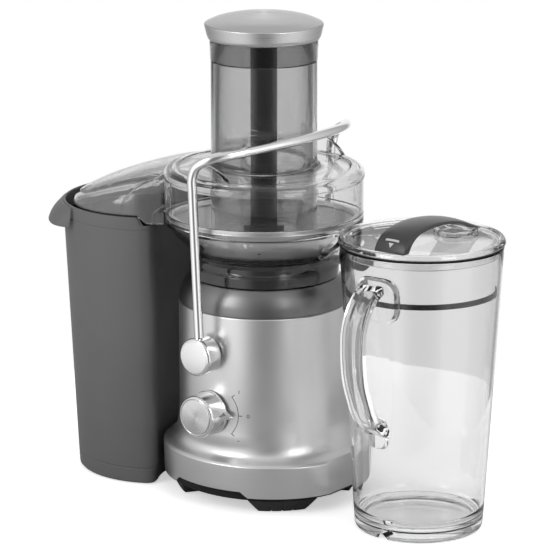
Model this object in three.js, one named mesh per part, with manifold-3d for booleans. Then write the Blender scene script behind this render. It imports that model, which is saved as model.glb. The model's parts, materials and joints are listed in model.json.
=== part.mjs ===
// Centrifugal juicer with pulp bin and juice jug. Millimetres, +Z up.
// Everything is drawn round the drive axis; the last lines move the whole
// object so that its box stands centred on the origin.
import * as THREE from 'three';
import { mergeVertices } from 'three/addons/utils/BufferGeometryUtils.js';
import Module from 'manifold-3d';

const wasm = await Module();
wasm.setup();

// ---------------------------------------------------------------- dimensions
const GAP = 0.3; // clearance between pieces that touch
const WALL = 2.5; // moulded plastic and casing thickness
const BROAD = 36; // facets round a large turned piece
const INNER = 20; // facets round a large piece inside the casing
const FINE = 12; // facets round a small one

const FOOT_TOP = 12;
const SKIRT_LOW = 16;
const SKIRT_TOP = 47.5;
const SHOULDER_LOW = 182;
const SHOULDER_TOP = 207;
const NECK_TOP = 228;
const BOWL_TOP = 266;
const DECK_TOP = 307;
const CHUTE_TOP = 406;
const CAP_LOW = 425;
const CAP_TOP = 448.5;

const SKIRT_RADIUS = 97.8;
const SKIRT_HALF_WIDTH = 93.5;
const SKIRT_SQUASH = 0.91; // front to back, as a share of the width
const FOOT_INSIDE = 62;
const FOOT_TURNS = [42.5, 137.5, 222.5, 317.5];
const BODY_RADIUS = 79;
const NECK_RADIUS = 69;
const BOWL_RADIUS = 91.5;
const BOWL_INSIDE = BOWL_RADIUS - 2.7;
const CHUTE_RADIUS = 48.5;
const CHUTE_BORE = 45.5;
const CHUTE_LOW = 252;
const PUSHER_RADIUS = CHUTE_BORE - 0.7;

const PIVOT_HEIGHT = 147;
const PIVOT_RADIUS = 17.5;
const ARM_RADIUS = 4.3;
const DIAL_HEIGHT = 90.5;
const DIAL_RADIUS = 19.5;

const SPOUT_HEIGHT = 241;
const SPOUT_RADIUS = 13;
const SPOUT_END = 113;

const BIN_CENTRE = -127;
const BIN_TOP = 260;
const BIN_LOW_RIM = 252; // where the rim passes under the cover
const BIN_STEP = -82; // the rim is low from here towards the base
const BIN_RIM_RADIUS = 90;
const BIN_FOOT_RADIUS = 78;
const NEST_RADIUS = 101; // hollow side of the bin, round the drive axis
const DOME_LENGTH = 72; // how far the outlet dome reaches past the bin's middle

const JUG_CENTRE = 177.5;
const JUG_TOP = 260.5;
const JUG_FLOOR = 12;
const SEAL_LOW = 217;
const SEAL_TURN = THREE.MathUtils.degToRad(-52);
const JUG_RIM_RADIUS = 73;
const JUG_FOOT_RADIUS = 58;
const LID_TOP = 266.5;

// ------------------------------------------------------------------- helpers
function facesOutward(positions, triangles) {
  let volume = 0;
  const corner = [new THREE.Vector3(), new THREE.Vector3(), new THREE.Vector3()];
  for (let start = 0; start < triangles.length; start += 3) {
    corner.forEach((point, side) => point.fromArray(positions, 3 * triangles[start + side]));
    volume += corner[0].dot(corner[1].cross(corner[2]));
  }
  return volume > 0;
}

function toSolid(geometry) {
  const bare = geometry.clone();
  bare.deleteAttribute('normal');
  bare.deleteAttribute('uv');
  const merged = mergeVertices(bare, 1e-3);
  const positions = merged.attributes.position.array;
  const outward = facesOutward(positions, merged.index.array);
  const triangles = [];
  for (let start = 0; start < merged.index.count; start += 3) {
    const [a, b, c] = merged.index.array.slice(start, start + 3);
    if (a !== b && b !== c && c !== a) triangles.push(a, outward ? b : c, outward ? c : b);
  }
  return new wasm.Manifold(new wasm.Mesh({
    numProp: 3,
    vertProperties: new Float32Array(positions),
    triVerts: new Uint32Array(triangles),
  }));
}

function toGeometry(solid) {
  const mesh = solid.getMesh();
  const geometry = new THREE.BufferGeometry();
  geometry.setAttribute('position', new THREE.BufferAttribute(mesh.vertProperties, 3));
  geometry.setIndex(new THREE.BufferAttribute(mesh.triVerts, 1));
  return geometry;
}

const join = (...pieces) => toGeometry(pieces.map(toSolid).reduce((sum, next) => sum.add(next)));
const common = (...pieces) => toGeometry(pieces.map(toSolid).reduce((sum, next) => sum.intersect(next)));
const cut = (body, ...tools) =>
  toGeometry(tools.map(toSolid).reduce((rest, tool) => rest.subtract(tool), toSolid(body)));

// Solid of revolution about Z from [radius, height] pairs. An outline that
// does not start on the axis closes on itself and makes a ring.
function turned(outline, segments = BROAD) {
  const points = outline.map(([radius, height]) => new THREE.Vector2(radius, height));
  if (points[0].x > 0) points.push(points[0].clone());
  return new THREE.LatheGeometry(points, segments).rotateX(Math.PI / 2);
}

const ring = (inner, outer, low, high, segments = BROAD) =>
  turned([[inner, low], [outer, low], [outer, high], [inner, high]], segments);

const disc = (radius, low, high, segments = BROAD) =>
  turned([[0, low], [radius, low], [radius, high], [0, high]], segments);

const box = (xs, ys, zs) =>
  new THREE.BoxGeometry(xs[1] - xs[0], ys[1] - ys[0], zs[1] - zs[0])
    .translate((xs[0] + xs[1]) / 2, (ys[0] + ys[1]) / 2, (zs[0] + zs[1]) / 2);

// Turned pieces laid down: their own +Z becomes -Y (to the front) or +X.
const facingFront = (geometry, height) => geometry.rotateX(Math.PI / 2).translate(0, 0, height);
const facingJug = (geometry, height) => geometry.rotateY(Math.PI / 2).translate(0, 0, height);

// Solid through closed rings of equal point counts, with flat ends.
function loft(rings) {
  const count = rings[0].length;
  const corners = rings.flat();
  const middle = (points) =>
    points.reduce((sum, point) => sum.add(point), new THREE.Vector3()).divideScalar(count);
  const first = corners.push(middle(rings[0])) - 1;
  const last = corners.push(middle(rings[rings.length - 1])) - 1;
  const index = [];
  for (let side = 0; side < count; side += 1) {
    const next = (side + 1) % count;
    for (let level = 0; level < rings.length - 1; level += 1) {
      const low = level * count;
      const high = low + count;
      index.push(low + side, low + next, high + next, low + side, high + next, high + side);
    }
    const top = (rings.length - 1) * count;
    index.push(first, next, side, last, top + side, top + next);
  }
  const geometry = new THREE.BufferGeometry().setFromPoints(corners);
  geometry.setIndex(index);
  return geometry;
}

function swept(shape, path, steps) {
  return new THREE.ExtrudeGeometry(shape, {
    steps, bevelEnabled: false, curveSegments: 4, extrudePath: path,
  });
}

const smoothPath = (points) =>
  new THREE.CatmullRomCurve3(points.map((point) => new THREE.Vector3(...point)), false, 'centripetal');

function roundSection(radius, sides) {
  const corners = Array.from({ length: sides }, (unused, side) => {
    const angle = (2 * Math.PI * side) / sides;
    return new THREE.Vector2(radius * Math.cos(angle), radius * Math.sin(angle));
  });
  return new THREE.Shape(corners);
}

const finish = (color, roughness, metalness, opacity = 1) =>
  ({ color, roughness, metalness, opacity, transparent: opacity < 1 });

const SILVER = finish(0xc4c6c8, 0.35, 0.9);
const DARK_SILVER = finish(0x8d8f92, 0.35, 0.9);
const CHROME = finish(0xdfe1e3, 0.08, 1);
const STEEL = finish(0xb9bbbd, 0.3, 1);
const COPPER = finish(0xb06a3a, 0.4, 1);
const BLACK = finish(0x1e1f21, 0.35, 0);
const CHARCOAL = finish(0x4a4b4d, 0.6, 0);
const RUBBER = finish(0x232426, 0.85, 0);
const CLEAR = finish(0xe4e7ea, 0.05, 0, 0.35);
const SMOKE = finish(0x5a5d60, 0.08, 0, 0.6);
const BOARD = finish(0x2f5d3a, 0.6, 0);

function part(group, name, geometry, look) {
  const mesh = new THREE.Mesh(toGeometry(toSolid(geometry)), new THREE.MeshStandardMaterial(look));
  mesh.name = name;
  group.add(mesh);
}

// ----------------------------------------------------------------- motor base
// Outline of the casing at one height: round above, wide and flat-sided below.
function casingRing(radius, height, inset = 0) {
  const flare = THREE.MathUtils.smoothstep(72 - height, 0, 72 - SKIRT_TOP);
  const squash = 1 - (1 - SKIRT_SQUASH) * flare;
  const side = SKIRT_HALF_WIDTH - inset;
  return Array.from({ length: BROAD + 4 }, (unused, step) => {
    const angle = (2 * Math.PI * (step + 0.5)) / (BROAD + 4);
    const x = THREE.MathUtils.clamp((radius - inset) * Math.cos(angle), -side, side);
    return new THREE.Vector3(x, (radius - inset) * squash * Math.sin(angle), height);
  });
}

const CASING_LEVELS = [
  [SKIRT_RADIUS - 0.8, SKIRT_LOW], [SKIRT_RADIUS, SKIRT_TOP - 2], [SKIRT_RADIUS - 2, SKIRT_TOP],
  [SKIRT_RADIUS - 9, 52], [SKIRT_RADIUS - 14.5, 59], [BODY_RADIUS + 0.7, 69], [BODY_RADIUS, 80],
  [BODY_RADIUS, SHOULDER_LOW],
];

function baseShell() {
  const outside = loft(CASING_LEVELS.map(([radius, height]) => casingRing(radius, height)));
  const inside = loft([
    casingRing(SKIRT_RADIUS - 0.8, SKIRT_LOW - 1, WALL),
    ...CASING_LEVELS.slice(0, -1).map(([radius, height]) => casingRing(radius, height + 0.5, WALL)),
    casingRing(BODY_RADIUS, SHOULDER_LOW - WALL, WALL),
  ]);
  const topOpening = disc(64, SHOULDER_LOW - 5, SHOULDER_LOW + 1);
  const archCorners = [[-43, -1], [43, -1], [35.5, 5.5], [-35.5, 5.5]];
  const arch = new THREE.Shape(archCorners.map(([across, rise]) => new THREE.Vector2(across, rise)));
  const archCut = new THREE.ExtrudeGeometry(arch, { depth: 240, bevelEnabled: false })
    .rotateX(Math.PI / 2).translate(0, 120, SKIRT_LOW);
  const pivotHole = facingFront(disc(9.3, -100, 100, FINE), PIVOT_HEIGHT);
  const dialHole = facingFront(disc(3.6, 40, 100, FINE), DIAL_HEIGHT);
  const glandHole = facingFront(disc(7.3, -110, -60, FINE), 32);
  return cut(outside, inside, topOpening, archCut, pivotHole, dialHole, glandHole);
}

function basePlate() {
  const inset = WALL + 0.9;
  const plate = loft([
    casingRing(SKIRT_RADIUS - 3, FOOT_TOP, inset), casingRing(SKIRT_RADIUS - 0.8, 20, inset),
  ]);
  const hollow = loft([FOOT_TOP + 3, 21].map((height) => casingRing(SKIRT_RADIUS - 3, height, inset + 3)));
  const screws = diagonals().map(([x, y]) => disc(2.4, 0, 30, 12).translate(x * 50, y * 50, 0));
  return cut(plate, hollow, ...screws);
}

const diagonals = () => [45, 135, 225, 315].map((degrees) => {
  const angle = THREE.MathUtils.degToRad(degrees);
  return [Math.cos(angle), Math.sin(angle)];
});

// Arc-shaped foot, narrower and shorter at the floor than at the plate.
function foot(degrees) {
  const outline = (spread, outer, height) => {
    const turns = [-1, -2 / 3, -1 / 3, 0, 1 / 3, 2 / 3, 1].map((share) =>
      THREE.MathUtils.degToRad(degrees + spread * share));
    const at = (radius) => (angle) =>
      new THREE.Vector3(radius * Math.cos(angle), radius * SKIRT_SQUASH * Math.sin(angle), height);
    return [...turns.map(at(outer)), ...turns.reverse().map(at(FOOT_INSIDE))];
  };
  return loft([outline(16, 83, 0), outline(22, 90, FOOT_TOP - GAP)]);
}

function screw([x, y]) {
  return turned([[0, FOOT_TOP + 0.4], [2.1, FOOT_TOP + 0.4], [2.1, 22], [4.2, 22], [4.2, 25], [0, 25]], 12)
    .translate(x * 50, y * 50, 0);
}

const shoulderRing = () => turned([
  [62, SHOULDER_LOW + GAP], [BODY_RADIUS, SHOULDER_LOW + GAP], [BODY_RADIUS, SHOULDER_LOW + 3],
  [77.6, 192], [74.6, 199.5], [71, 204.5], [NECK_RADIUS, SHOULDER_TOP], [62, SHOULDER_TOP],
]);

const neckCollar = () => turned([
  [58, SHOULDER_TOP + GAP], [NECK_RADIUS - 1, SHOULDER_TOP + GAP], [NECK_RADIUS - 1, NECK_TOP - 4],
  [NECK_RADIUS + 1, NECK_TOP - 2], [NECK_RADIUS, NECK_TOP - GAP], [58, NECK_TOP - GAP],
]);

// ------------------------------------------------------------------ the motor
function coolingFan() {
  const blades = Array.from({ length: 6 }, (unused, blade) =>
    box([8, 36], [-0.9, 0.9], [30.5, 41]).rotateZ((2 * Math.PI * blade) / 6));
  return join(ring(5.3, 11, 30, 42, FINE), ring(5.3, 36, 29, 31, INNER), ...blades);
}

function buildMotor(base, rotor) {
  part(base, 'lower_bracket', ring(12.3, 62, 45, 49, INNER), DARK_SILVER);
  part(base, 'lower_bearing', ring(5.3, 11.8, 45, 53, FINE), STEEL);
  part(base, 'stator_core', ring(30, 46, 68, 126, INNER), STEEL);
  part(base, 'winding_lower', ring(33, 44, 55, 68 - GAP, INNER), COPPER);
  part(base, 'winding_upper', ring(33, 44, 126 + GAP, 139, INNER), COPPER);
  part(base, 'upper_bracket', ring(12.3, 72, 160, 164, INNER), DARK_SILVER);
  part(base, 'upper_bearing', ring(5.3, 11.8, 158, 166, FINE), STEEL);
  part(base, 'shaft_seal', ring(5.4, 14, 200, 206, FINE), RUBBER);
  part(base, 'brush_left', box([-30, -13.6], [-4, 4], [142, 151]), BLACK);
  part(base, 'brush_right', box([13.6, 30], [-4, 4], [142, 151]), BLACK);
  part(rotor, 'motor_shaft', disc(5, 27, 214, FINE), STEEL);
  part(rotor, 'armature_core', ring(5.2, 28, 70, 124, INNER), STEEL);
  part(rotor, 'commutator', ring(5.2, 13, 141, 152, FINE), COPPER);
  part(rotor, 'cooling_fan', coolingFan(), CHARCOAL);
}

function buildControls(base) {
  part(base, 'control_board', box([-30, 30], [62, 63.6], [62, 108]), BOARD);
  part(base, 'speed_switch', box([-13, 13], [-71, -57], [76, 101]), BLACK);
  part(base, 'safety_switch', box([-8, 8], [54, 66], [112, 134]), BLACK);
  part(base, 'cord_gland', facingFront(
    turned([[3.5, -72], [7, -72], [7, -89.8], [9, -90.6], [8, -96], [3.5, -96]], FINE), 32), RUBBER);
  const bush = () => ring(5.4, 9, 70, BODY_RADIUS + 1.6, FINE);
  part(base, 'pivot_bush_front', facingFront(bush(), PIVOT_HEIGHT), BLACK);
  part(base, 'pivot_bush_rear', facingFront(bush(), PIVOT_HEIGHT).rotateZ(Math.PI), BLACK);
}

// --------------------------------------------------------- bowl, cover, basket
const bowlInside = () => turned([
  [0, 231], [62, 231], [68, 235], [78.5, 246], [BOWL_INSIDE, 258], [BOWL_INSIDE, BOWL_TOP + 5],
  [0, BOWL_TOP + 5],
]);

function bowlSurround() {
  const outside = turned([
    [0, NECK_TOP], [64, NECK_TOP], [70, 232], [81, 243], [BOWL_RADIUS - 1.5, 254], [BOWL_RADIUS, 256],
    [BOWL_RADIUS, BOWL_TOP - GAP], [0, BOWL_TOP - GAP],
  ]);
  const spout = facingJug(disc(SPOUT_RADIUS, 66, SPOUT_END, 24), SPOUT_HEIGHT);
  const spoutBore = facingJug(disc(SPOUT_RADIUS - 2, 60, SPOUT_END + 1, 24), SPOUT_HEIGHT);
  return cut(join(outside, spout), bowlInside(), spoutBore, disc(16, 220, 235, FINE));
}

// Outlet dome: arched sections from over the cover to the far rim of the bin.
// It stands on the bin's rim, and drops where the rim is low.
function outletDome(inset, drop) {
  const first = -50;
  const length = DOME_LENGTH - inset;
  const width = BIN_RIM_RADIUS - 2 - inset;
  const step = BIN_STEP + GAP;
  const places = [first, -66, step + 0.01, step - 0.01, -100, BIN_CENTRE, -150, -170, -186,
    BIN_CENTRE - length + 0.4];
  return loft(places.map((x) => {
    const past = x < BIN_CENTRE ? (x - BIN_CENTRE) * (width / length) : x - BIN_CENTRE;
    const half = Math.sqrt(width ** 2 - past ** 2);
    const along = (x - first) / (BIN_CENTRE - length - first);
    const crown = DECK_TOP + 2 - 46 * along ** 2 - inset;
    const low = (x > step ? BIN_LOW_RIM + 2 : BIN_TOP + 1) - drop;
    return Array.from({ length: 13 }, (unused, corner) => {
      const turn = Math.PI * (corner / 12);
      const rise = Math.sin(turn) ** 0.8;
      const across = Math.sign(Math.cos(turn)) * Math.abs(Math.cos(turn)) ** 0.8;
      return new THREE.Vector3(x, half * across, low + (crown - low) * rise);
    });
  }));
}

// Ramp under the arm's bent corner, on the cover's rim.
function lockingRamp(side) {
  const ramp = new THREE.Shape();
  ramp.moveTo(-8, DECK_TOP - 6);
  ramp.lineTo(31, DECK_TOP - 6);
  ramp.quadraticCurveTo(22, 317, 4, 321);
  ramp.lineTo(-8, 321);
  ramp.closePath();
  return new THREE.ExtrudeGeometry(ramp, { depth: 5, bevelEnabled: false, curveSegments: 6 })
    .rotateX(Math.PI / 2).translate(0, side * 84 + 2.5, 0);
}

// Cover and outlet dome as one shell, still without the hole for the chute.
function coverShell() {
  const body = turned([
    [0, BOWL_TOP], [BOWL_RADIUS, BOWL_TOP], [BOWL_RADIUS, 297], [BOWL_RADIUS + 1, 299],
    [BOWL_RADIUS + 0.5, 303], [BOWL_RADIUS - 4, DECK_TOP], [72, DECK_TOP + 1.5],
    [0, DECK_TOP + 2],
  ]);
  const inside = turned([
    [CHUTE_RADIUS, CHUTE_LOW - 5], [BOWL_INSIDE, CHUTE_LOW - 5], [BOWL_INSIDE, 300], [85, DECK_TOP - WALL],
    [CHUTE_RADIUS, DECK_TOP - 0.5],
  ]);
  const throat = cut(outletDome(WALL, 1), disc(CHUTE_RADIUS, 240, 330));
  const outside = join(body, outletDome(0, 0), lockingRamp(-1), lockingRamp(1));
  return cut(outside, inside, throat, disc(BOWL_RADIUS + 1.8, 240, BOWL_TOP));
}

function buildCover(base) {
  const seam = BOWL_RADIUS + 1.3;
  const shell = coverShell();
  part(base, 'bowl_cover', common(shell, ring(CHUTE_RADIUS + GAP, seam, 240, 330, 72)), CLEAR);
  part(base, 'outlet_dome', cut(shell, disc(seam + GAP, 240, 330, 72)), CLEAR);
  part(base, 'feed_chute', ring(CHUTE_BORE, CHUTE_RADIUS, CHUTE_LOW, CHUTE_TOP - GAP), CLEAR);
}

function buildBasket(rotor) {
  const wall = turned([
    [20, 237], [56, 237], [84.5, 260], [83, 260], [55.4, 238.6], [20, 238.6],
  ]);
  part(rotor, 'drive_coupling', disc(13, 214 + GAP, 233, FINE), BLACK);
  part(rotor, 'basket_hub', disc(19.7, 233 + GAP, 238.9, FINE), BLACK);
  part(rotor, 'filter_basket', wall, STEEL);
  part(rotor, 'basket_rim', ring(82, 86.5, 260 + GAP, 264.5), STEEL);
  part(rotor, 'cutting_disc', turned([
    [0, 239.2], [50, 239.2], [50, 240.4], [16, 241], [12, 244], [0, 245],
  ]), STEEL);
}

// ----------------------------------------------------------------- the pusher
const SPINE_TURN = THREE.MathUtils.degToRad(-52);
const SPINE_LOW = 250.3;

function pusherSpine() {
  const band = ring(38.4, 42, SPINE_LOW, CAP_LOW - 1);
  const strip = box([30, 50], [-11.5, 11.5], [240, CAP_TOP]);
  const block = box([30, 50], [-17.5, 17.5], [240, SPINE_LOW + 12]);
  return common(band, join(strip, block)).rotateZ(SPINE_TURN);
}

function buildPusher(pusher) {
  part(pusher, 'pusher_tube', turned([
    [0, 247.5], [PUSHER_RADIUS - 2, 247.5], [PUSHER_RADIUS, 249.5], [PUSHER_RADIUS, CAP_LOW - 1],
    [42.3, CAP_LOW - 1], [42.3, 250], [0, 250],
  ]), SMOKE);
  part(pusher, 'pusher_spine', pusherSpine(), BLACK);
  part(pusher, 'pusher_collar', turned([
    [PUSHER_RADIUS + GAP, CHUTE_TOP], [49, CHUTE_TOP], [49.5, CAP_LOW - GAP],
    [PUSHER_RADIUS + GAP, CAP_LOW - GAP],
  ]), SMOKE);
  part(pusher, 'pusher_cap', turned([
    [0, CAP_LOW], [50.5, CAP_LOW], [52, CAP_LOW + 3], [54.3, 438], [53.5, 439.2], [44, 443.6], [28, 447],
    [12, CAP_TOP], [0, CAP_TOP],
  ]), STEEL);
}

// ------------------------------------------------------- locking arm and dial
const ARM_KNOB_FACE = 103;
const ARM_REACH = 104; // half width of the arm at the top

function armBail() {
  const loopStart = 8;
  const loopBulge = CHUTE_RADIUS + ARM_RADIUS + 0.7 - loopStart;
  const front = [
    [0, -95, PIVOT_HEIGHT + PIVOT_RADIUS + GAP], [0, -99, 230], [0, -103, 300], [0.6, -ARM_REACH, 314],
    [5, -ARM_REACH + 0.4, 324],
  ];
  const loop = [-70, -50, -30, -15, 0, 15, 30, 50, 70].map((degrees) => {
    const angle = THREE.MathUtils.degToRad(degrees);
    const bulge = loopBulge * Math.cos(angle) ** 1.3;
    return [loopStart + bulge, ARM_REACH * Math.sin(angle), 328 + 12 * Math.cos(angle)];
  });
  const rear = front.map(([x, y, z]) => [x, -y, z]).reverse();
  return swept(roundSection(ARM_RADIUS, 8), smoothPath([...front, ...loop, ...rear]), 60);
}

function armKnob() {
  const knob = turned([
    [0, 81.2], [13, 81.2], [13, 84], [PIVOT_RADIUS, 85], [PIVOT_RADIUS, ARM_KNOB_FACE - 2],
    [PIVOT_RADIUS - 2, ARM_KNOB_FACE], [0, ARM_KNOB_FACE],
  ], 24);
  return join(facingFront(knob, 0), facingFront(disc(5, 66, 82, FINE), 0)).translate(0, 0, PIVOT_HEIGHT);
}

function buildArm(arm) {
  part(arm, 'arm_bail', armBail(), CHROME);
  part(arm, 'arm_knob_front', armKnob(), CHROME);
  part(arm, 'arm_knob_rear', armKnob().rotateZ(Math.PI), CHROME);
}

function buildDial(dial) {
  const knob = turned([
    [0, 80], [DIAL_RADIUS + 2, 80], [DIAL_RADIUS + 2, 82.5], [DIAL_RADIUS, 84], [DIAL_RADIUS, 99.5],
    [DIAL_RADIUS - 2, 101.5], [0, 101.5],
  ], 24);
  const pointer = box([DIAL_RADIUS - 3, DIAL_RADIUS + 6.5], [-83.6, -80.2], [-2.2, 2.2]);
  const socket = facingFront(disc(3.4, 70, 90, FINE), 0);
  const whole = cut(join(facingFront(knob, 0), pointer), socket);
  part(dial, 'dial_knob', whole.translate(0, 0, DIAL_HEIGHT), CHROME);
  part(dial, 'dial_face', facingFront(disc(DIAL_RADIUS - 2.6, 101.8, 102.8, 24), DIAL_HEIGHT), SILVER);
  part(dial, 'dial_shaft', facingFront(disc(3, 71.4, 89.5, FINE), DIAL_HEIGHT), STEEL);
}

// ------------------------------------------------------------------ pulp bin
function binCone(inset, low, high) {
  const slope = (BIN_RIM_RADIUS - BIN_FOOT_RADIUS) / BIN_TOP;
  const radius = (height) => BIN_FOOT_RADIUS + slope * height - inset;
  return turned([[0, low], [radius(low), low], [radius(high), high], [0, high]], 48)
    .translate(BIN_CENTRE, 0, 0);
}

// Grip lip that flares out and down from the rim, at the front corner.
function gripLip() {
  const lip = new THREE.Shape();
  lip.moveTo(BIN_RIM_RADIUS - 7, BIN_TOP - 1);
  lip.lineTo(BIN_RIM_RADIUS, BIN_TOP - 0.5);
  lip.quadraticCurveTo(BIN_RIM_RADIUS + 10.5, 249, BIN_RIM_RADIUS + 13, 234);
  lip.lineTo(BIN_RIM_RADIUS + 10.5, 234);
  lip.quadraticCurveTo(BIN_RIM_RADIUS + 7.5, 248, BIN_RIM_RADIUS - 7, 250);
  lip.closePath();
  return new THREE.ExtrudeGeometry(lip, { depth: 60, bevelEnabled: false, curveSegments: 5 })
    .rotateX(Math.PI / 2).translate(0, 30, 0).rotateZ(THREE.MathUtils.degToRad(-135))
    .translate(BIN_CENTRE, 0, 0);
}

function pulpBin() {
  const outside = cut(binCone(0, 0, BIN_TOP), disc(NEST_RADIUS, -10, 300, 48));
  const inside = cut(binCone(WALL, 3, BIN_TOP + 1), disc(NEST_RADIUS + WALL, -10, 300, 48));
  const lowCorners = box([BIN_STEP, 0], [-120, 120], [BIN_LOW_RIM, BIN_TOP + 5]);
  const lowNest = disc(NEST_RADIUS + 2 * WALL, BIN_LOW_RIM, BIN_TOP + 5);
  return cut(join(outside, gripLip()), inside, lowCorners, lowNest);
}

// ------------------------------------------------------------------ juice jug
const jugRadius = (height) => JUG_FOOT_RADIUS + (JUG_RIM_RADIUS - JUG_FOOT_RADIUS) * (height / JUG_TOP);

const COLLAR_BOX = { start: 98, end: 114.5, radius: 16, bore: SPOUT_RADIUS + 0.8 };

const collarCut = () => join(
  facingJug(disc(COLLAR_BOX.radius + GAP, COLLAR_BOX.start - 2, COLLAR_BOX.end + GAP, 28), SPOUT_HEIGHT),
  box([COLLAR_BOX.start - 2, COLLAR_BOX.end + GAP], [-COLLAR_BOX.radius - GAP, COLLAR_BOX.radius + GAP],
    [SPOUT_HEIGHT, SPOUT_HEIGHT + COLLAR_BOX.radius + GAP]));

// The handle stops just short of the jug's wall, on a line that follows it.
function jugHandle() {
  const path = smoothPath([
    [0, -60, 233], [0, -74, 233], [0, -85, 227], [0, -94, 216], [0, -100, 202], [0, -101.3, 183],
    [0, -98.5, 158], [0, -92, 139], [0, -84, 122], [0, -74, 109], [0, -56, 98],
  ]);
  const corners = [[-11, -4], [-9, -5], [9, -5], [11, -4], [11, 4], [9, 5], [-9, 5], [-11, 4]];
  const section = new THREE.Shape(corners.map(([across, deep]) => new THREE.Vector2(across, deep)));
  const clearance = turned([
    [0, 60], [jugRadius(60) + GAP, 60], [jugRadius(250) + GAP, 250], [0, 250],
  ]).translate(JUG_CENTRE, 0, 0);
  return cut(swept(section, path, 22).translate(JUG_CENTRE, 0, 0), clearance);
}

function jugShell() {
  return turned([
    [0, 3], [jugRadius(0) - 5, 3], [jugRadius(0) - 3.5, 0], [jugRadius(0) - 0.5, 0], [jugRadius(4), 4],
    [JUG_RIM_RADIUS, JUG_TOP], [0, JUG_TOP],
  ]).translate(JUG_CENTRE, 0, 0);
}

function jugBody() {
  const inside = turned([
    [0, JUG_FLOOR], [jugRadius(JUG_FLOOR) - 8, JUG_FLOOR], [jugRadius(18) - 3, 18],
    [JUG_RIM_RADIUS - 3, JUG_TOP + 1], [0, JUG_TOP + 1],
  ]).translate(JUG_CENTRE, 0, 0);
  return cut(jugShell(), inside, collarCut());
}

function inletCollar() {
  const tube = turned([
    [COLLAR_BOX.bore, COLLAR_BOX.start], [COLLAR_BOX.radius - 1, COLLAR_BOX.start],
    [COLLAR_BOX.radius, COLLAR_BOX.start + 2], [COLLAR_BOX.radius, COLLAR_BOX.end],
    [COLLAR_BOX.bore, COLLAR_BOX.end],
  ], 28);
  return facingJug(tube, SPOUT_HEIGHT);
}

function jugLid() {
  const lid = turned([
    [0, LID_TOP - 3.5], [64, LID_TOP - 3.5], [66, JUG_TOP - 8], [69, JUG_TOP - 8], [69.2, JUG_TOP + GAP],
    [JUG_RIM_RADIUS + 1, JUG_TOP + GAP], [JUG_RIM_RADIUS + 1.5, JUG_TOP + 3],
    [JUG_RIM_RADIUS, LID_TOP - 0.7],
    [70, LID_TOP], [67, LID_TOP - 1.2], [0, LID_TOP - 1],
  ]).translate(JUG_CENTRE, 0, 0);
  return cut(lid, collarCut());
}

const BOSS = { x: JUG_CENTRE + 13.5, y: 33, radius: 20, top: LID_TOP + 4 };

// Side outline of the strap: places from front to back and heights over the lid.
const STRAP_CREST = [[-57, 11.7], [-44, 15.7], [-20, 18], [4, 17.7], [24, 14.2], [40, 8.7], [50, 5.5]];
const STRAP_UNDERSIDE = [[34, 6], [20, 11], [4, 14], [-20, 14.5], [-42, 12], [-52, 7.5], [-59, 0]];

// Arched strap from the front of the lid to the top of the boss.
function lidHandle() {
  const low = LID_TOP + GAP;
  const rest = BOSS.top + GAP;
  const over = (places) => places.map(([along, rise]) => new THREE.Vector2(along, low + rise));
  const strap = new THREE.Shape();
  strap.moveTo(-68, low);
  strap.splineThru(over(STRAP_CREST));
  strap.lineTo(49, rest);
  strap.lineTo(42, rest);
  strap.splineThru(over(STRAP_UNDERSIDE));
  strap.closePath();
  return new THREE.ExtrudeGeometry(strap, { depth: 30, bevelEnabled: false, curveSegments: 2 })
    .rotateX(Math.PI / 2).rotateZ(Math.PI / 2).translate(BOSS.x - 16, 0, 0);
}

function lidBoss() {
  return ring(BOSS.radius - 5, BOSS.radius, LID_TOP + GAP, BOSS.top, 28).translate(BOSS.x, BOSS.y, 0);
}

// Dark seal round the front half of the froth separator.
function separatorSeal() {
  const outer = jugRadius(SEAL_LOW) - 3 - GAP;
  const frontHalf = box([0, 80], [-80, 80], [0, 300]).rotateZ(SEAL_TURN);
  return common(ring(outer - 3, outer, SEAL_LOW, SEAL_LOW + 5), frontHalf);
}

function buildJug(jug, lid) {
  part(jug, 'jug_body', jugBody(), CLEAR);
  part(jug, 'jug_handle', jugHandle(), CLEAR);
  part(jug, 'inlet_collar', inletCollar(), BLACK);
  part(jug, 'separator_seal', separatorSeal().translate(JUG_CENTRE, 0, 0), BLACK);
  part(lid, 'jug_lid', jugLid(), CLEAR);
  part(lid, 'lid_handle', lidHandle(), CHARCOAL);
  part(lid, 'lid_boss', lidBoss(), CLEAR);
}

// ------------------------------------------------------------------- assembly
function buildBase(base) {
  part(base, 'base_shell', baseShell(), SILVER);
  part(base, 'shoulder_ring', shoulderRing(), DARK_SILVER);
  part(base, 'neck_collar', neckCollar(), BLACK);
  part(base, 'base_plate', basePlate(), BLACK);
  FOOT_TURNS.forEach((degrees, corner) => part(base, `foot_${corner + 1}`, foot(degrees), RUBBER));
  diagonals().forEach((place, corner) => part(base, `base_screw_${corner + 1}`, screw(place), STEEL));
  part(base, 'bowl_surround', bowlSurround(), CLEAR);
  buildCover(base);
}

const juicer = new THREE.Group();
const [base, dial, arm, rotor, pusher, bin, jug, lid] = Array.from({ length: 8 }, () => new THREE.Group());
juicer.add(base, dial, arm, rotor, pusher, bin, jug);
jug.add(lid);
buildBase(base);
buildControls(base);
buildMotor(base, rotor);
buildBasket(rotor);
buildDial(dial);
buildArm(arm);
buildPusher(pusher);
part(bin, 'pulp_bin', pulpBin(), CHARCOAL);
buildJug(jug, lid);

// The drive axis stands this far from the middle of the object's box.
juicer.position.x = -15.5;

export default juicer;
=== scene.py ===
import json
from math import asin, atan2, copysign, cos, exp, pi, radians, sin, sqrt

import bmesh
import bpy
from mathutils import Matrix, Vector


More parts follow.
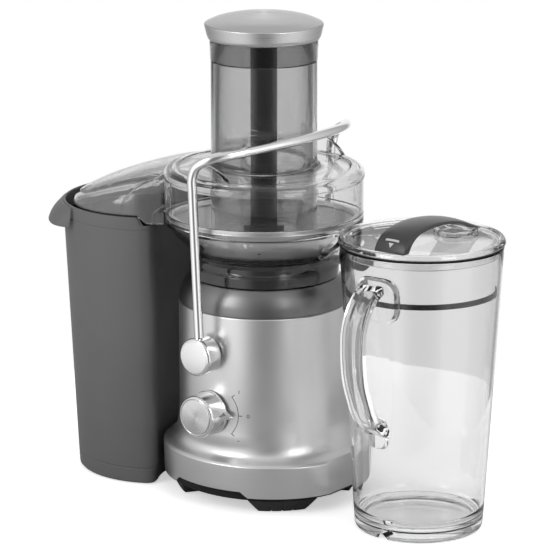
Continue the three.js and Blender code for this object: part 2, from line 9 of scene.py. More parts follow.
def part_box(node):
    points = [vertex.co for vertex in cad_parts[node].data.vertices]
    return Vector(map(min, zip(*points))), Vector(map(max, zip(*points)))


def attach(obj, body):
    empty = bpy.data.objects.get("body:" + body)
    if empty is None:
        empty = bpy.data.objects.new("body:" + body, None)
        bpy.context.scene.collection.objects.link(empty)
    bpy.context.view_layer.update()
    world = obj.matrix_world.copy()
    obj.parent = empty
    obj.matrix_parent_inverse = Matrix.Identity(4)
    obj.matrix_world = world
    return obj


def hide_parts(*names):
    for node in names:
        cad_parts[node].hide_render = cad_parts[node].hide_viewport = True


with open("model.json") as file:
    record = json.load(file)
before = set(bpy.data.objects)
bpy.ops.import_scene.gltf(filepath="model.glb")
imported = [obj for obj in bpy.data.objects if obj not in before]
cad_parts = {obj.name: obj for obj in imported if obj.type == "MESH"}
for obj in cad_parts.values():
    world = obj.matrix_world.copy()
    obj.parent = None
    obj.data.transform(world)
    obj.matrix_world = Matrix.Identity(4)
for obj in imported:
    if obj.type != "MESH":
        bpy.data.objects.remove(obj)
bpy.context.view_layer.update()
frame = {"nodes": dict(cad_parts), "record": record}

scene = bpy.context.scene

# ---- driving places
# Lengths are millimetres from the drive axis at worktop level, unless metres are named.
MM = 0.001


def middle(node):
    low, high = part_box(node)
    return (low + high) / 2


def low(node):
    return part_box(node)[0].z / MM


def high(node):
    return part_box(node)[1].z / MM


SHAFT = middle("motor_shaft")
ORIGIN = Vector((SHAFT.x, SHAFT.y, 0))


def from_axis(node):
    """Middle of a node in plan, in millimetres from the drive axis."""
    place = (middle(node) - ORIGIN) / MM
    return place.x, place.y


def half_width(node):
    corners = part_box(node)
    return (corners[1].x - corners[0].x) / 2 / MM


WALL = 2.5
GAP = 0.3
SKIRT_LOW = low("base_shell")
SHOULDER_LOW = high("base_shell")
SHOULDER_TOP = high("shoulder_ring")
NECK_LOW = low("neck_collar")
NECK_TOP = high("neck_collar")
BODY_RADIUS = half_width("shoulder_ring")
SKIRT_SIDE = half_width("base_shell")
SKIRT_RADIUS = SKIRT_SIDE + 4.3
SKIRT_TOP = SKIRT_LOW + 31.5
SKIRT_SQUASH = 0.91
NECK_RADIUS = 69
BOWL_TOP = high("bowl_surround")
BOWL_RADIUS = 91.5
BOWL_INSIDE = 88.8
DECK_TOP = BOWL_TOP + 41.3
CHUTE_TOP = high("feed_chute")
CHUTE_LOW = low("feed_chute")
CHUTE_RADIUS = 48.5
CHUTE_BORE = 45.5
CAP_LOW = low("pusher_cap")
CAP_TOP = high("pusher_cap")
CAP_RADIUS = half_width("pusher_cap")
PUSHER_RADIUS = half_width("pusher_tube")
PUSHER_LOW = low("pusher_tube")
PIVOT_HEIGHT = middle("arm_knob_front").z / MM
PIVOT_RADIUS = half_width("arm_knob_front")
ARM_RADIUS = 4.3
ARM_REACH = 104
DIAL_HEIGHT = middle("dial_face").z / MM
DIAL_RADIUS = 19.5
BIN_CENTRE = -127
BIN_TOP = high("pulp_bin")
BIN_STEP = -82
BIN_RIM = 90
BIN_FOOT = 78
NEST_RADIUS = 101
JUG_CENTRE = from_axis("jug_lid")[0]
JUG_AXIS = (JUG_CENTRE, 0)
JUG_TOP = high("jug_body")
JUG_RIM = 73
JUG_FOOT = 58
JUG_FLOOR = 12
LID_TOP = high("jug_lid")
SPOUT_HEIGHT = middle("inlet_collar").z / MM
SPOUT_RADIUS = 13
SPOUT_END = 113
COLLAR_START = 98
COLLAR_END = 114.5
COLLAR_RADIUS = 16.8
FRONT_TURN = radians(-52)  # direction of the viewer, in plan


# ---- geometry
def turns(count):
    """Angles of a full circle in equal steps."""
    return [2 * pi * step / count for step in range(count)]


def on_circle(radius, angle, *rest):
    return (radius * cos(angle), radius * sin(angle), *rest)


def circle(radius, sides):
    return [on_circle(radius, angle) for angle in turns(sides)]


def bend(start, corner, end, steps):
    """Points of the arc from start to end that is drawn towards corner."""
    return [start * (1 - t) ** 2 + corner * 2 * t * (1 - t) + end * t ** 2
            for t in (step / steps for step in range(steps + 1))]


def round_corners(points, fillet, closed=False, steps=4):
    """The outline with each corner replaced by a short arc.

    A point is (x, y) or (x, y, fillet) for a corner with a fillet of its own."""
    rounded = []
    count = len(points)
    for at, point in enumerate(points):
        corner = Vector(point[:2])
        reach = point[2] if len(point) > 2 else fillet
        if not closed and at in (0, count - 1) or reach <= 0:
            rounded.append(corner)
            continue
        before = Vector(points[at - 1][:2]) - corner
        after = Vector(points[(at + 1) % count][:2]) - corner
        reach = min(reach, 0.48 * before.length, 0.48 * after.length)
        start = corner + before.normalized() * reach
        end = corner + after.normalized() * reach
        rounded.extend(bend(start, corner, end, steps))
    return rounded


def smooth_curve(points, per_span=8):
    """Centripetal Catmull-Rom curve through points of any dimension."""
    def between(start, end, time, first, last):
        return start.lerp(end, (time - first) / (last - first))

    ends = [2 * points[0] - points[1], *points, 2 * points[-1] - points[-2]]
    curve = []
    for at in range(1, len(ends) - 2):
        a, b, c, d = ends[at - 1: at + 3]
        ta = -sqrt((b - a).length)
        tc = sqrt((c - b).length)
        td = tc + sqrt((d - c).length)
        for step in range(per_span):
            t = tc * step / per_span
            ab = between(a, b, t, ta, 0)
            bc = between(b, c, t, 0, tc)
            cd = between(c, d, t, tc, td)
            curve.append(between(between(ab, bc, t, ta, tc), between(bc, cd, t, 0, td), t, 0, tc))
    curve.append(points[-1].copy())
    return curve


def placed(name, data):
    """New object in the scene for a mesh, a light or a camera."""
    obj = bpy.data.objects.new(name, data)
    scene.collection.objects.link(obj)
    return obj


def evaluated_mesh(obj):
    """A new mesh that is the object with its modifiers applied."""
    bpy.context.view_layer.update()
    return bpy.data.meshes.new_from_object(
        obj.evaluated_get(bpy.context.evaluated_depsgraph_get()))


def build(name, points, faces):
    """Mesh object from millimetre points, with its normals made to face out."""
    mesh = bpy.data.meshes.new(name)
    mesh.from_pydata([Vector(point) * MM + ORIGIN for point in points], [], faces)
    work = bmesh.new()
    work.from_mesh(mesh)
    bmesh.ops.remove_doubles(work, verts=work.verts, dist=1e-6)
    bmesh.ops.recalc_face_normals(work, faces=work.faces)
    work.to_mesh(mesh)
    work.free()
    return placed(name, mesh)


def skin(count, levels, closed):
    """Faces between neighbouring rings of count points, and from last to first if closed."""
    faces = []
    for level in range(levels if closed else levels - 1):
        here = level * count
        there = (level + 1) % levels * count
        for side in range(count):
            after = (side + 1) % count
            faces.append((here + side, here + after, there + after, there + side))
    return faces


def loft(name, rings, closed=False):
    """Skin over rings of equal point counts, capped at both ends unless closed."""
    count = len(rings[0])
    points = [point for ring in rings for point in ring]
    faces = skin(count, len(rings), closed)
    if not closed:
        faces.append(tuple(range(count)))
        faces.append(tuple(range(len(points) - count, len(points))))
    return build(name, points, faces)


def turned(name, outline, fillet=0.8, segments=160, centre=(0, 0), steps=4):
    """Solid of revolution about a vertical line.

    An outline that starts and ends on the axis makes a solid, any other a ring."""
    solid = outline[0][0] == 0
    profile = round_corners(outline, fillet, closed=not solid, steps=steps)
    points = [(centre[0] + radius * cos(angle), centre[1] + radius * sin(angle), height)
              for radius, height in profile for angle in turns(segments)]
    return build(name, points, skin(segments, len(profile), closed=not solid))


def cylinder(name, radius, bottom, top, segments=160):
    return turned(name, [(0, bottom), (radius, bottom), (radius, top), (0, top)], 0, segments)


def swept(name, path, section, across=None):
    """Solid of a closed section carried along a path, flat at both ends.

    across is the direction of the section's first coordinate, where it is fixed."""
    rings = []
    side = across or Vector((1, 0, 0))
    for at, place in enumerate(path):
        forward = (path[min(at + 1, len(path) - 1)] - path[max(at - 1, 0)]).normalized()
        side = (side - forward * side.dot(forward)).normalized()
        up = forward.cross(side)
        rings.append([place + side * a + up * b for a, b in section])
        side = across or side
    return loft(name, rings)


def slab(name, outline, start, end, along="y"):
    """Upright prism of an outline in (x, height) along y, or in (y, height) along x."""
    return loft(name, [[(a, reach, height) if along == "y" else (reach, a, height)
                        for a, height in outline] for reach in (start, end)])


def lay_down(obj, height, direction):
    """Turns a piece built about the drive axis so that its top faces a new way."""
    turn = Vector((0, 0, 1)).rotation_difference(Vector(direction)).to_matrix().to_4x4()
    shift = Matrix.Translation(ORIGIN + Vector((0, 0, height * MM)))
    obj.data.transform(shift @ turn @ Matrix.Translation(-ORIGIN))
    return obj


def towards_jug(obj):
    """Lays a piece down along the spout."""
    return lay_down(obj, SPOUT_HEIGHT, (1, 0, 0))


def carve(obj, *tools, operation="DIFFERENCE"):
    """Cuts the tools out of a piece, or joins them to it, and removes them."""
    for tool in tools:
        step = obj.modifiers.new("carve", "BOOLEAN")
        step.operation = operation
        step.object = tool
        step.solver = "MANIFOLD"
    result = evaluated_mesh(obj)
    obj.modifiers.clear()
    obj.data = result
    for tool in tools:
        bpy.data.objects.remove(tool)
    return obj


def add(obj, *tools):
    return carve(obj, *tools, operation="UNION")


def finished(obj, body, look, *replaced, slot=None, sharp=32):
    """Finishes a piece: look, shading, the body it rides on, and hides the CAD parts it replaces.

    The slot argument is not used."""
    obj.data.materials.clear()
    obj.data.materials.append(LOOKS[look])
    obj.data.shade_smooth()
    obj.data.set_sharp_from_angle(angle=radians(sharp))
    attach(obj, body)
    if replaced:
        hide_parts(*replaced)
    return obj


# ---- materials
def node(tree, kind, *inputs, **named):
    """New shader node. Names in lower case are its settings, the rest are its input sockets.

    A socket takes a value, or a link from another socket. _ stands for a space in its name."""
    made = tree.nodes.new("ShaderNode" + kind)
    for name, value in named.items():
        if name.islower():
            setattr(made, name, value)
    sockets = [*zip(made.inputs, inputs)]
    sockets += [(made.inputs[name.replace("_", " ")], value)
                for name, value in named.items() if not name.islower()]
    for socket, value in sockets:
        if isinstance(value, bpy.types.NodeSocket):
            tree.links.new(value, socket)
        else:
            socket.default_value = value
    return made


def mixed(tree, factor, start, end):
    """A colour from start to end, each a colour or a socket."""
    return node(tree, "Mix", data_type="RGBA", Factor=factor, A=start, B=end).outputs["Result"]


def shade(level, share=1):
    """Grey of a share of a level, as a colour."""
    return (*(min(1.0, level * share),) * 3, 1)


class Look:
    """A Principled material with short calls for its nodes."""

    def __init__(self, name, color, roughness, metallic=0.0, **uniform):
        self.material = bpy.data.materials.new(name)
        self.material.use_nodes = True
        self.tree = self.material.node_tree
        self.shader = self.tree.nodes["Principled BSDF"]
        uniform.update(Base_Color=color, Roughness=roughness, Metallic=metallic)
        for socket, value in uniform.items():
            self.shader.inputs[socket.replace("_", " ")].default_value = value
        self.where = self.node("TexCoord").outputs["Object"]

    def node(self, kind, *inputs, **named):
        return node(self.tree, kind, *inputs, **named)

    def drive(self, socket, value):
        self.tree.links.new(value, self.shader.inputs[socket])
        return self

    def stretched(self, scale):
        return self.node("Mapping", Vector=self.where, Scale=scale).outputs["Vector"]

    def noise(self, size, detail=3.0, vector=None):
        """Noise with features of about size millimetres, from 0 to 1."""
        return self.node("TexNoise", Vector=vector or self.where, Scale=1 / (size * MM),
                         Detail=detail).outputs["Fac"]

    def spread(self, value, start, end):
        """A value's middle half, from 0.25 to 0.75, spread over the range from start to end."""
        return self.node("MapRange", Value=value, From_Min=0.25, From_Max=0.75, To_Min=start,
                         To_Max=end).outputs["Result"]

    def tint(self, value, dark, light):
        return self.drive("Base Color", mixed(self.tree, value, dark, light))

    def rough(self, value, start, end):
        return self.drive("Roughness", self.spread(value, start, end))

    def bump(self, height, depth, strength):
        """Bump of depth millimetres."""
        bumped = self.node("Bump", Strength=strength, Distance=depth * MM, Height=height)
        return self.drive("Normal", bumped.outputs["Normal"])


def metal_paint(name, level):
    """Sprayed satin metal: fine sparkle in the bump, soft patches in the gloss."""
    look = Look(name, shade(level), 0.34, 1.0)
    look.tint(look.noise(0.5, 2), shade(level, 0.94), shade(level, 1.05))
    look.rough(look.noise(60), 0.30, 0.37)
    return look.bump(look.noise(0.35, 2), 0.004, 0.35).material


def polished_metal(name, level):
    look = Look(name, shade(level), 0.06, 1.0)
    look.tint(look.noise(25), shade(level, 0.97), shade(level))
    look.rough(look.noise(18, 5), 0.035, 0.09)
    return look.bump(look.noise(30, 2), 0.02, 0.25).material


def spun_metal(name, level, axis, centre):
    """Turned metal: fine rings about an axis through centre, with a sheen drawn along them."""
    look = Look(name, shade(level), 0.3, 1.0, Anisotropic=0.8)
    shift = look.node("VectorMath", look.where, centre, operation="SUBTRACT").outputs[0]
    across = [1 - share for share in axis]
    flat = look.node("VectorMath", shift, across, operation="MULTIPLY").outputs[0]
    along = look.node("VectorMath", flat, axis, operation="CROSS_PRODUCT").outputs[0]
    turn = look.node("VectorTransform", along, convert_from="OBJECT", convert_to="WORLD")
    look.drive("Tangent", turn.outputs[0])
    radius = look.node("VectorMath", flat, operation="LENGTH").outputs["Value"]
    rings = look.node("TexNoise", noise_dimensions="1D", W=radius, Scale=1 / (0.35 * MM),
                      Detail=4).outputs["Fac"]
    look.tint(rings, shade(level, 0.86), shade(level, 1.08))
    look.rough(rings, 0.22, 0.36)
    return look.bump(rings, 0.012, 0.5).material


def moulded(name, level, roughness, grain=0.6, depth=0.02):
    """Opaque moulded plastic with a fine eroded grain and slight wear in its gloss."""
    look = Look(name, shade(level), roughness)
    look.tint(look.noise(45, 4), shade(level, 0.93), shade(level, 1.07))
    look.rough(look.noise(28, 5), roughness * 0.88, min(1.0, roughness * 1.12))
    return look.bump(look.noise(grain, 2), depth, 0.5).material


def clear(name, level, roughness=0.02, transmission=1.0):
    """Clear moulded plastic: faint flow waviness and hair-fine gloss changes."""
    look = Look(name, shade(level), roughness, Transmission_Weight=transmission, IOR=1.47)
    look.rough(look.noise(22, 5), roughness * 0.4, roughness * 2.0)
    return look.bump(look.noise(35, 1), 0.05, 0.15).material


def woven_metal(name, level, hole):
    """Perforated sheet: dark round holes in a fine, slightly uneven pattern."""
    look = Look(name, shade(level), 0.4, 0.65)
    cells = look.node("TexVoronoi", Vector=look.where, Scale=1 / (hole * MM), Randomness=0.12)
    web = look.spread(cells.outputs["Distance"], 0, 1)
    look.tint(web, shade(level, 0.7), shade(level))
    look.rough(look.noise(10), 0.25, 0.45)
    return look.bump(web, 0.08, 0.8).material


def wound_copper(name):
    look = Look(name, (0.62, 0.28, 0.12, 1), 0.35, 1.0)
    strands = look.noise(0.6, 2, look.stretched((1, 1, 0.08)))
    look.tint(strands, (0.40, 0.16, 0.06, 1), (0.74, 0.36, 0.17, 1))
    return look.bump(strands, 0.15, 0.8).material


def board_green(name):
    look = Look(name, (0.03, 0.13, 0.06, 1), 0.4)
    tracks = look.noise(3, 1, look.stretched((1, 0.1, 0.3)))
    look.tint(tracks, (0.02, 0.10, 0.04, 1), (0.06, 0.20, 0.09, 1))
    return look.bump(tracks, 0.05, 0.5).material


DIAL_CENTRE = tuple(ORIGIN + Vector((0, 0, DIAL_HEIGHT * MM)))
RECIPES = {
    "satin_silver": (metal_paint, 0.70),
    "dark_silver": (metal_paint, 0.20),
    "gloss_black": (moulded, 0.018, 0.12, 8, 0.01),
    "black_plastic": (moulded, 0.008, 0.5),
    "foot_rubber": (moulded, 0.03, 0.75, 0.9, 0.05),
    "bare_steel": (metal_paint, 0.5),
    "copper": (wound_copper,),
    "circuit_board": (board_green,),
    "chrome": (polished_metal, 0.86),
    "spun_metal": (spun_metal, 0.72, (0, 1, 0), DIAL_CENTRE),
    "clear_plastic": (clear, 0.93),
    "jug_plastic": (clear, 0.85),
    "cover_plastic": (clear, 0.86),
    "smoked_plastic": (clear, 0.74, 0.04),
    "dome_plastic": (clear, 0.84, 0.03, 0.9),
    "dark_smoke": (clear, 0.36, 0.05),
    "brushed_cap": (spun_metal, 0.56, (0, 0, 1), tuple(ORIGIN)),
    "basket_steel": (metal_paint, 0.62),
    "basket_mesh": (woven_metal, 1.0, 1.6),
    "rim_steel": (metal_paint, 0.85),
    "charcoal_plastic": (moulded, 0.118, 0.5, 0.7, 0.03),
    "lid_charcoal": (moulded, 0.035, 0.32, 0.8, 0.015),
    "dial_print": (moulded, 0.05, 0.6),
    "pale_print": (moulded, 0.5, 0.5),
    "knob_face": (metal_paint, 0.85),
}
LOOKS = {name: make(name, *values) for name, (make, *values) in RECIPES.items()}


def set_uniform(look, socket, value):
    LOOKS[look].node_tree.nodes["Principled BSDF"].inputs[socket].default_value = value


set_uniform("gloss_black", "Coat Weight", 0.4)
set_uniform("black_plastic", "Specular IOR Level", 0.25)


# ---- motor base
# Outside of the casing from the skirt up, as (radius, height, fillet).
CASING = [
    (SKIRT_RADIUS - 0.8, SKIRT_LOW, 0), (SKIRT_RADIUS - 0.5, SKIRT_LOW + 14, 8),
    (SKIRT_RADIUS, SKIRT_TOP - 2.2, 0.7), (SKIRT_RADIUS - 2.2, SKIRT_TOP, 0.7),
    (SKIRT_RADIUS - 9.5, 52, 5), (SKIRT_RADIUS - 14.5, 59, 8), (BODY_RADIUS + 0.9, 69, 8),
    (BODY_RADIUS, 82, 10), (BODY_RADIUS, SHOULDER_LOW - 0.8, 0.8),
    (BODY_RADIUS - 0.8, SHOULDER_LOW, 0),
]
ROUND_ABOVE = 72  # height where the flare of the casing starts
CASING_MOUTH = 66  # radius of the opening in the top of the casing
CASING_SIDES = 240


def smoothstep(value):
    value = min(1.0, max(0.0, value))
    return value * value * (3 - 2 * value)


def casing_squash(height):
    """Depth of the casing as a share of its width: less where it flares."""
    return 1 - (1 - SKIRT_SQUASH) * smoothstep((ROUND_ABOVE - height) / (ROUND_ABOVE - SKIRT_TOP))


def casing_ring(radius, height, inset=0.0):
    """Casing outline at one height: round above, wide and flat-sided below."""
    squash = casing_squash(height)
    flat = SKIRT_SIDE - inset
    ring = []
    for step in range(CASING_SIDES):
        angle = 2 * pi * (step + 0.5) / CASING_SIDES
        x = (radius - inset) * cos(angle)
        y = (radius - inset) * squash * sin(angle)
        ring.append(Vector((min(flat, max(-flat, x)), y, height)))
    return ring


def lift_arch(ring):
    """Raises the lower edge over the two wide gaps between the feet."""
    for point in ring:
        if abs(point.y) > 50:
            point.z = max(point.z, SKIRT_LOW + 5.5 * min(1.0, (42.5 - abs(point.x)) / 6.5))
    return ring


def casing_radius(height):
    """Radius of the casing at a height, between the corners of its outline."""
    for (near, under, _), (far, over, _) in zip(CASING, CASING[1:]):
        if under <= height <= over:
            return near + (far - near) * (height - under) / (over - under)
    return BODY_RADIUS


def base_shell():
    outside = round_corners(CASING, 0, steps=6)
    under_top = SHOULDER_LOW - WALL
    rings = [lift_arch(casing_ring(radius, height)) for radius, height in outside]
    rings.append(casing_ring(CASING_MOUTH, SHOULDER_LOW))
    rings.append(casing_ring(CASING_MOUTH, under_top))
    rings.extend(lift_arch(casing_ring(radius, height, WALL))
                 for radius, height in reversed(outside) if height < under_top)
    shell = loft("motor_casing", rings, closed=True)
    finished(shell, "base", "satin_silver", "base_shell", sharp=24)


def shoulder():
    edge = BODY_RADIUS - 0.2
    ring = turned("shoulder_band", [
        (62, SHOULDER_LOW + GAP), (edge, SHOULDER_LOW + GAP, 0.5), (edge, SHOULDER_LOW + 3, 3),
        (77.8, 191, 6), (74.8, 199, 6), (NECK_RADIUS + 1, SHOULDER_TOP - 1, 1.5),
        (NECK_RADIUS - 1, SHOULDER_TOP, 0.5), (62, SHOULDER_TOP)], 0.5, 144)
    finished(ring, "base", "dark_silver", "shoulder_ring")
    collar = turned("neck_band", [
        (58, NECK_LOW), (NECK_RADIUS + 0.5, NECK_LOW, 0.6), (NECK_RADIUS + 0.5, NECK_LOW + 9, 0.8),
        (NECK_RADIUS - 2, NECK_LOW + 11.5, 1.5), (NECK_RADIUS - 3, NECK_TOP - 4, 2.5),
        (NECK_RADIUS - 1, NECK_TOP, 0.8), (58, NECK_TOP)], 0.4, 144)
    finished(collar, "base", "gloss_black", "neck_collar")


def base_floor():
    levels = ((20, 4), (20, 0.9), (13.4, 0.9), (12.3, 2), (12.3, 30))
    rings = [casing_ring(SKIRT_RADIUS - 3, height, WALL + inset) for height, inset in levels]
    finished(loft("base_floor", rings), "base", "black_plastic", "base_plate")
    for at, degrees in enumerate((42.5, 137.5, 222.5, 317.5)):
        foot(at + 1, radians(degrees))


def foot(number, centre):
    """Arc-shaped foot, narrower at the floor, with three notches in its lower edge."""
    steps = 72
    inside = 62
    levels = ((0.0, 82.2, 15.6), (0.8, 83.4, 16.1), (4.0, 85.3, 18.0), (11.8, 90.0, 22.0))
    rings = []
    for height, reach, spread in levels:
        outer, inner = [], []
        for step in range(steps + 1):
            share = 2 * step / steps - 1
            angle = centre + radians(spread * share)
            across, depth = cos(angle), SKIRT_SQUASH * sin(angle)
            notch = max(0.0, cos(6 * pi * share / 1.4)) ** 10 if abs(share) < 0.55 else 0.0
            radius = reach - 2.4 * notch * max(0.0, 1 - height / 5)
            outer.append((radius * across, radius * depth, height))
            inner.append((inside * across, inside * depth, height))
        rings.append(outer + inner[::-1])
    finished(loft(f"rubber_foot_{number}", rings), "base", "foot_rubber", f"foot_{number}")


def wrap(x, height, proud=0.12):
    """Point just proud of the front of the casing."""
    radius = casing_radius(height) + proud
    return Vector((x, -casing_squash(height) * sqrt(radius ** 2 - x ** 2), height))


def printed(name, outline):
    """Thin print on the casing from an outline in (x, height)."""
    rings = [[wrap(x, height, proud) for x, height in outline] for proud in (0.02, 0.12)]
    finished(loft(name, rings), "base", "dial_print", slot="black_plastic")


def dial_marks():
    """Arc, three ticks and plain numerals beside the speed dial."""
    def polar(radius, degrees):
        x, rise = on_circle(radius, radians(degrees))
        return x, DIAL_HEIGHT + rise

    arc_in, arc_out, tick_out, numeral_at = 27.9, 28.4, 31.5, 36.5
    end = 38
    degrees = [-end + 2 * end * step / 40 for step in range(41)]
    printed("dial_arc", [polar(arc_out, turn) for turn in degrees]
            + [polar(arc_in, turn) for turn in reversed(degrees)])
    corners = ((arc_in, -0.7), (tick_out, -0.6), (tick_out, 0.6), (arc_in, 0.7))
    for at, turn in enumerate((-end, 0, end)):
        printed(f"dial_tick_{at + 1}", [polar(radius, turn + off) for radius, off in corners])
    for figure, turn in (("2", -end), ("0", 0), ("1", end)):
        numeral(figure, *polar(numeral_at, turn))


def numeral(figure, x, height):
    """A numeral laid on the casing, from the built-in font."""
    text = bpy.data.curves.new("numeral", "FONT")
    text.body = figure
    text.size = 5.2
    text.align_x = "CENTER"
    text.align_y = "CENTER"
    holder = placed("numeral", text)
    mesh = evaluated_mesh(holder)
    bpy.data.objects.remove(holder)
    for vertex in mesh.vertices:
        vertex.co = wrap(x + vertex.co.x, height + vertex.co.y) * MM + ORIGIN
    finished(placed(f"dial_numeral_{figure}", mesh), "base", "dial_print", slot="black_plastic")


# ---- dial and arm
def speed_dial():
    forward = (0, -1, 0)
    knob = turned("speed_knob", [
        (0, 80.2), (DIAL_RADIUS + 0.8, 80.2, 0.5), (DIAL_RADIUS + 0.8, 82, 0.6),
        (DIAL_RADIUS + 0.2, 82.6, 0.4), (DIAL_RADIUS, 99.6, 1.0), (DIAL_RADIUS - 1.6, 101.5, 0.8),
        (DIAL_RADIUS - 2.4, 101.5, 0.2), (DIAL_RADIUS - 2.6, 100.9, 0.2), (0, 100.9)], 0.5, 128)
    finished(lay_down(knob, DIAL_HEIGHT, forward), "dial", "chrome", "dial_knob")
    root = DIAL_RADIUS - 1.5
    nib = round_corners([(root, -5), (DIAL_RADIUS + 7.5, 0, 1.2), (root, 5)], 0.5, True)
    nib = [(x, DIAL_HEIGHT + rise) for x, rise in nib]
    finished(slab("pointer", nib, -80.3, -85), "dial", "chrome")
    face = turned("dial_disc", [
        (0, 101), (DIAL_RADIUS - 3, 101, 0.3), (DIAL_RADIUS - 3.4, 102, 0.4), (4, 102.2),
        (0, 102.2)], 0.2, 128)
    finished(lay_down(face, DIAL_HEIGHT, forward), "dial", "spun_metal", "dial_face")


def arm_path():
    """Up from the front knob, round the jug side of the chute and down to the rear one."""
    start = 8
    bulge = CHUTE_RADIUS + ARM_RADIUS + 0.7 - start
    front = [
        (0, -95, PIVOT_HEIGHT + PIVOT_RADIUS + GAP), (0, -99, 230), (0, -103, 300),
        (0.6, -ARM_REACH, 314), (5, -ARM_REACH + 0.4, 324)]
    loop = []
    for degrees in (-70, -50, -30, -15, 0, 15, 30, 50, 70):
        out, across = on_circle(1, radians(degrees))
        loop.append((start + bulge * out ** 1.3, ARM_REACH * across, 328 + 12 * out))
    rear = [(x, -y, z) for x, y, z in reversed(front)]
    return smooth_curve([Vector(point) for point in front + loop + rear], 10)


def locking_arm():
    rod = swept("arm_rod", arm_path(), circle(ARM_RADIUS, 32))
    finished(rod, "arm", "chrome", "arm_bail", sharp=60)
    for name, out in (("front", (0, -1, 0)), ("rear", (0, 1, 0))):
        knob = turned(f"arm_knob_shell_{name}", [
            (0, 81), (12.5, 81, 0.4), (12.5, 84, 0.5), (PIVOT_RADIUS - 0.3, 84.4, 1.2),
            (PIVOT_RADIUS, 101, 1.6), (PIVOT_RADIUS - 1.8, 102.6, 1.0), (0, 102.6)], 0.4, 128)
        finished(lay_down(knob, PIVOT_HEIGHT, out), "arm", "chrome", f"arm_knob_{name}")
        face = turned(f"arm_knob_disc_{name}", [
            (0, 102.2), (PIVOT_RADIUS - 2.4, 102.2), (PIVOT_RADIUS - 2.8, 103.2, 0.3),
            (0, 103.6)], 0.3, 96)
        finished(lay_down(face, PIVOT_HEIGHT, out), "arm", "knob_face", slot="spun_metal")


# ---- bowl, cover, basket
FLOOR_HEIGHT = 224.5
BOWL_FLOOR = [
    (54, FLOOR_HEIGHT), (57, 228.5), (64, 232.5), (69, 236), (78.5, 246), (BOWL_INSIDE, 258)]


def filter_bowl():
    bowl = turned("filter_bowl", [
        (16, 222), (55.5, 222, 1), (57.5, NECK_TOP + GAP, 1), (64, NECK_TOP + GAP, 1.5),
        (70, 232, 4), (81, 243, 5), (BOWL_RADIUS - 1.5, 254, 2.5), (BOWL_RADIUS, 256, 1.2),
        (BOWL_RADIUS, 260, 0.8), (BOWL_RADIUS - 0.8, 261.2, 0.4), (BOWL_RADIUS, 262.4, 0.8),
        (BOWL_RADIUS, BOWL_TOP, 0.8), (BOWL_INSIDE, BOWL_TOP, 0.6),
        *[(radius, height, 3) for radius, height in reversed(BOWL_FLOOR)],
        (16, FLOOR_HEIGHT, 0.6)], 0.6)
    bore_radius = SPOUT_RADIUS - 2
    spout = towards_jug(turned("spout", [
        (bore_radius, 70), (SPOUT_RADIUS, 70, 0.1), (SPOUT_RADIUS, SPOUT_END - 2, 1),
        (SPOUT_RADIUS - 0.6, SPOUT_END, 0.5), (bore_radius, SPOUT_END, 0.5)], 0.3, 72))
    inside = turned("inside", [(0, FLOOR_HEIGHT), *BOWL_FLOOR, (BOWL_INSIDE, 280), (0, 280)], 0)
    bore = towards_jug(cylinder("bore", bore_radius - 0.1, 60, 93, 72))
    carve(spout, inside)
    add(bowl, spout)
    carve(bowl, bore)
    finished(bowl, "base", "cover_plastic", "bowl_surround", slot="clear_plastic")


DOME_START = -50.0
DOME_LENGTH = 72  # from the middle of the bin to its far end


def dome_point(x, turn, inset=0.0, drop=0.0):
    """Point of the outlet dome: an arch with a soft crease along each flank."""
    length = DOME_LENGTH - inset
    width = BIN_RIM - 2 - inset
    past = (x - BIN_CENTRE) * (width / length if x < BIN_CENTRE else 1)
    half = sqrt(max(0.0, width ** 2 - past ** 2))
    crown = DECK_TOP + 2 - 46 * ((x - DOME_START) / (BIN_CENTRE - length - DOME_START)) ** 2 - inset
    floor_here = BIN_TOP + 1 - 7 * rim_step(x) - drop
    side = sin(turn)
    ridge = 0.36 + 0.34 * smoothstep((x - BIN_CENTRE + DOME_LENGTH) / 110)
    crease = 0.075 * exp(-((side - ridge) / 0.11) ** 2) * smoothstep((-70 - x) / 30)
    across = copysign(abs(cos(turn)) ** 0.8, cos(turn)) * (1 - crease)
    rise = (crown - floor_here) * (max(0.0, side) ** 0.8 - crease)
    return Vector((x, half * across, floor_here + rise))


def rim_step(x):
    """How far down the bin's rim is at x: all the way where it passes under the cover."""
    return smoothstep((x - BIN_STEP + 4) / 4)


def outlet_dome(name, inset, drop):
    """Arched sections from over the cover to the far rim of the bin."""
    run = BIN_CENTRE - DOME_LENGTH + inset - DOME_START + GAP
    stations = [DOME_START + run * sin(pi / 2 * step / 47) for step in range(48)]
    return loft(name, [[dome_point(x, pi * step / 48, inset, drop) for step in range(49)]
                       for x in stations])


def dome_edge_shade():
    """Thin dark strip of painted shade along the lower edge of the dome, over the bin's rim."""
    tip = BIN_CENTRE - DOME_LENGTH
    stations = [tip + (BIN_STEP - 4 - tip) * (1 - cos(pi / 2 * step / 40)) for step in range(41)]
    edge = [dome_point(x, pi) for x in reversed(stations)]
    edge += [dome_point(x, 0) for x in stations[1:]]
    return swept("dome_edge_shade", [place + Vector((0, 0, -0.2)) for place in edge], circle(0.75, 12))


def seam_rib():
    """Thin raised line where the dome runs into the cover, on the near flank."""
    path = [dome_point(-101 + 24 * share ** 1.6, pi - radians(4 + 48 * share))
            for share in (step / 16 for step in range(17))]
    return swept("seam", path, circle(1.0, 10))


def wall_rib(degrees):
    """Upright rib on the outside of the cover's wall."""
    x, y = on_circle(1, radians(degrees))
    near, far = BOWL_RADIUS - 1, BOWL_RADIUS + 0.7
    corners = ((near, -1.2), (far, -0.8), (far, 0.8), (near, 1.2))
    return loft("rib", [[(x * reach - y * across, y * reach + x * across, height)
                         for reach, across in corners] for height in (BOWL_TOP + 3, 298)])


